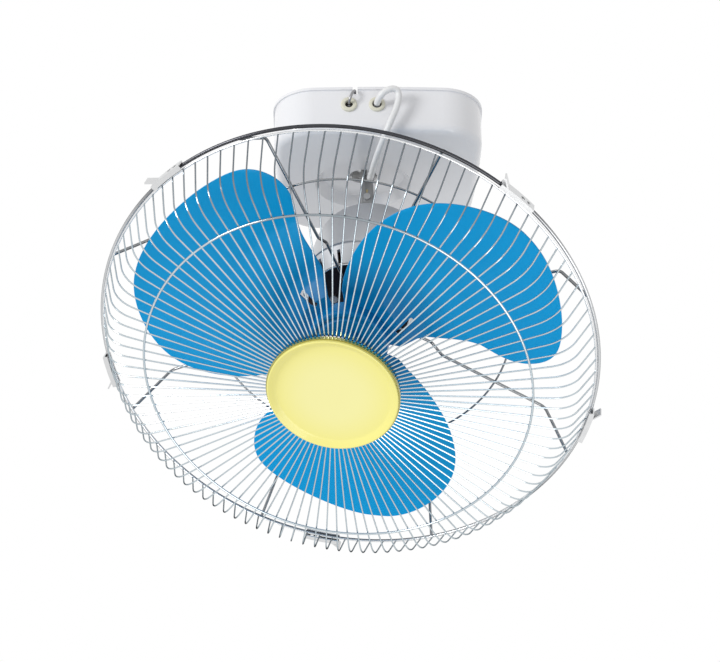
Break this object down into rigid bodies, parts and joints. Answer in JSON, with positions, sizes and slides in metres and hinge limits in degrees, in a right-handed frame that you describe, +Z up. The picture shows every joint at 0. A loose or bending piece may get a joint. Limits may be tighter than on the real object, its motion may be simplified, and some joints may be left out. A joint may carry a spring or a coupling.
{
  "type": "ceiling orbit fan",
  "caption": "Ceiling-hung orbit fan: a square housing and hanging arm carry a tilted motor head with a wire guard and blue blades on a swivel.",
  "frame": {"origin": "point on the ceiling face directly above the hanging arm, at the centre of the bracket's bolt pattern", "axes": "+Z up out of the ceiling face; -Y towards the side that the tilted head faces; +X to the right seen from that side"},
  "size_m": [0.4548, 0.4467, 0.4501],
  "materials": {
    "bracket_steel": "zinc-plated pressed steel",
    "housing_white": "glossy white moulding",
    "screw_steel": "nickel-plated screws",
    "grommet_cream": "cream soft moulding",
    "terminal_white": "satin moulding",
    "capacitor_grey": "satin plastic case",
    "arm_grey": "die-cast, fine satin",
    "yellow_zinc": "yellow-passivated zinc plate",
    "pin_steel": "turned steel",
    "fork_black": "black paint, satin",
    "motor_grey": "silver-grey satin paint",
    "core_steel": "stacked laminations",
    "winding_copper": "enamelled copper wire",
    "bearing_steel": "ground steel",
    "rotor_steel": "machined laminations",
    "blade_blue": "glossy blue moulding",
    "spinner_blue": "glossy blue moulding",
    "guard_chrome": "bright chrome-plated wire",
    "badge_rim": "gold-tinted bright edge",
    "badge_yellow": "glossy pale yellow",
    "clip_white": "glossy white moulding",
    "cord_white": "smooth white sheath",
    "wire_steel": "stranded steel wire",
    "ferrule_aluminium": "pressed sleeve"
  },
  "bodies": {
    "mount": {"mounting_bracket": "bracket_steel", "base_housing": "housing_white", "housing_screws": "screw_steel", "wire_grommet": "grommet_cream", "cord_grommet": "grommet_cream", "terminal_block": "terminal_white", "capacitor": "capacitor_grey", "cord_clamp": "terminal_white", "hanger_pin": "pin_steel", "hanger_nut": "pin_steel", "hanger_arm": "arm_grey", "arm_bolt": "pin_steel", "swivel_yoke": "yellow_zinc", "supply_cord": "cord_white", "safety_wire": "wire_steel", "safety_wire_ferrule": "ferrule_aluminium"},
    "swivel": {"swivel_block": "yellow_zinc", "swivel_long_pin": "pin_steel", "swivel_short_pins": "pin_steel"},
    "head": {"head_fork": "fork_black", "gear_case": "motor_grey", "motor_rear_cover": "motor_grey", "motor_shell": "motor_grey", "motor_front_cover": "motor_grey", "motor_tie_screws": "screw_steel", "stator_core": "core_steel", "stator_winding": "winding_copper", "rear_bearing": "bearing_steel", "front_bearing": "bearing_steel", "guard_plate": "guard_chrome", "guard_screws": "screw_steel", "rear_guard_arms": "guard_chrome", "rear_guard_ring": "guard_chrome", "rear_guard_rim": "guard_chrome", "front_guard_rim": "guard_chrome", "front_guard_ring": "guard_chrome", "front_guard_inner_ring": "guard_chrome", "front_guard_wires": "guard_chrome", "badge_cup": "badge_rim", "badge": "badge_yellow", "guard_clips": "clip_white"},
    "rotor": {"motor_shaft": "pin_steel", "rotor_core": "rotor_steel", "fan_blades": "blade_blue", "blade_spinner": "spinner_blue", "drive_pin": "pin_steel"}
  },
  "joints": [
    {"name": "swivel_nod", "type": "hinge", "parent": "mount", "child": "swivel", "pos_m": [0, 0, -0.094], "axis": [1, 0, 0], "range_deg": [-1.1, 69.3]},
    {"name": "swivel_roll", "type": "hinge", "parent": "swivel", "child": "head", "pos_m": [0, 0, -0.094], "axis": [0, 0.8285, -0.5601], "range_deg": [-44.5, 25.9]},
    {"name": "blade_spin", "type": "hinge", "parent": "head", "child": "rotor", "pos_m": [-0.0219, -0.1393, -0.30006], "axis": [-0.1613, -0.5527, -0.8176], "continuous": true}
  ]
}
